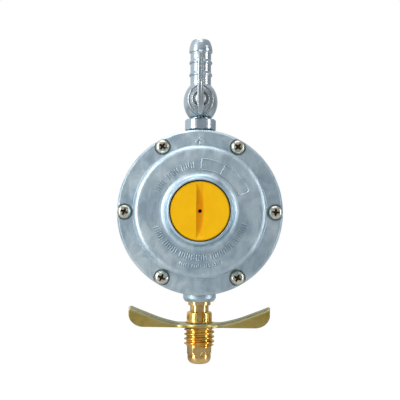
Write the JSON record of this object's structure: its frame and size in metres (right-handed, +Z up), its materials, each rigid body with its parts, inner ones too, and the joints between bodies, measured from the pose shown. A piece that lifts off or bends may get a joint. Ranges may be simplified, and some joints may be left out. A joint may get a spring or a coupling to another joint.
{
  "type": "low-pressure gas regulator",
  "caption": "Round die-cast low-pressure gas regulator with a slotted adjusting cap, a barbed outlet tap on top and a brass wing-screw inlet below.",
  "frame": {"origin": "on the inlet axis, halfway along the wing sleeve's thread", "axes": "+Z up from the inlet to the hose barb, +Y to the back of the housing (the adjusting cap faces -Y), +X to the right seen from the front"},
  "size_m": [0.0764, 0.0386, 0.1536],
  "materials": {
    "cast_zinc": "satin die-cast zinc, blue-grey",
    "bright_zinc": "bright tumbled zinc casting",
    "lever_zinc": "duller zinc casting",
    "plated_screws": "nickel-plated steel, warm",
    "plated_steel": "zinc-plated steel",
    "spring_steel": "bare spring wire",
    "yellow_passivate": "yellow-passivated zinc plate, olive gold",
    "brass_turned": "bright turned brass",
    "brass_thread": "turned brass, deeper gold",
    "brass_gauze": "woven gauze",
    "yellow_plastic": "moulded, satin",
    "white_plastic": "moulded acetal",
    "black_rubber": "matt"
  },
  "bodies": {
    "housing": {"cover": "cast_zinc", "body_casting": "cast_zinc", "cover_screws": "plated_screws", "diaphragm": "black_rubber", "valve_seat": "brass_turned", "lever_pin": "plated_steel", "inlet_nipple": "brass_turned", "inlet_filter": "brass_gauze", "inlet_seal_washer": "brass_turned", "tap_body": "bright_zinc", "tap_gasket": "black_rubber"},
    "spring_seat": {"spring_seat": "white_plastic", "main_spring": "spring_steel"},
    "cap": {"adjusting_cap": "yellow_plastic"},
    "diaphragm_core": {"diaphragm_plate": "plated_steel", "diaphragm_stem": "white_plastic", "stem_nut": "plated_steel"},
    "bell_crank": {"lever": "plated_steel"},
    "valve": {"valve_plunger": "brass_turned", "valve_pad": "black_rubber"},
    "wing_washer": {"thrust_washer": "brass_turned"},
    "wing_screw": {"wing_sleeve": "brass_thread", "wing_plate": "yellow_passivate"},
    "tap_handle": {"tap_lever": "lever_zinc", "plug_washer": "plated_steel", "plug_spring": "spring_steel", "plug_nut": "plated_steel"}
  },
  "joints": [
    {"name": "tap_turn", "type": "hinge", "parent": "housing", "child": "tap_handle", "pos_m": [0, 0, 0.111], "axis": [0, 1, 0], "range_deg": [0, 90]},
    {"name": "wing_slide", "type": "slide", "parent": "housing", "child": "wing_washer", "axis": [0, 0, 1], "range_m": [0, 0.0026]},
    {"name": "wing_spin", "type": "hinge", "parent": "wing_washer", "child": "wing_screw", "pos_m": [0, 0, 0], "axis": [0, 0, 1], "continuous": true},
    {"name": "seat_slide", "type": "slide", "parent": "housing", "child": "spring_seat", "axis": [0, 1, 0], "range_m": [0, 0.003], "deforming": ["main_spring"]},
    {"name": "cap_turn", "type": "hinge", "parent": "spring_seat", "child": "cap", "pos_m": [0, -0.0246, 0.058], "axis": [0, 1, 0], "range_deg": [0, 720]},
    {"name": "diaphragm_travel", "type": "slide", "parent": "housing", "child": "diaphragm_core", "axis": [0, -1, 0], "range_m": [0, 0.00285], "stiffness_N_per_m": 1000, "deforming": ["main_spring", "diaphragm"]},
    {"name": "lever_tilt", "type": "hinge", "parent": "housing", "child": "bell_crank", "pos_m": [0, 0.0045, 0.046], "axis": [1, 0, 0], "range_deg": [0, 13.7]},
    {"name": "plunger_slide", "type": "slide", "parent": "housing", "child": "valve", "axis": [0, 0, -1], "range_m": [0, 0.00107]}
  ],
  "couplings": [
    {"joint": "seat_slide", "follows": "cap_turn", "m_per_rad": 0.00023873},
    {"joint": "lever_tilt", "follows": "diaphragm_travel", "rad_per_m": 83.33},
    {"joint": "plunger_slide", "follows": "diaphragm_travel", "ratio": 0.375}
  ]
}
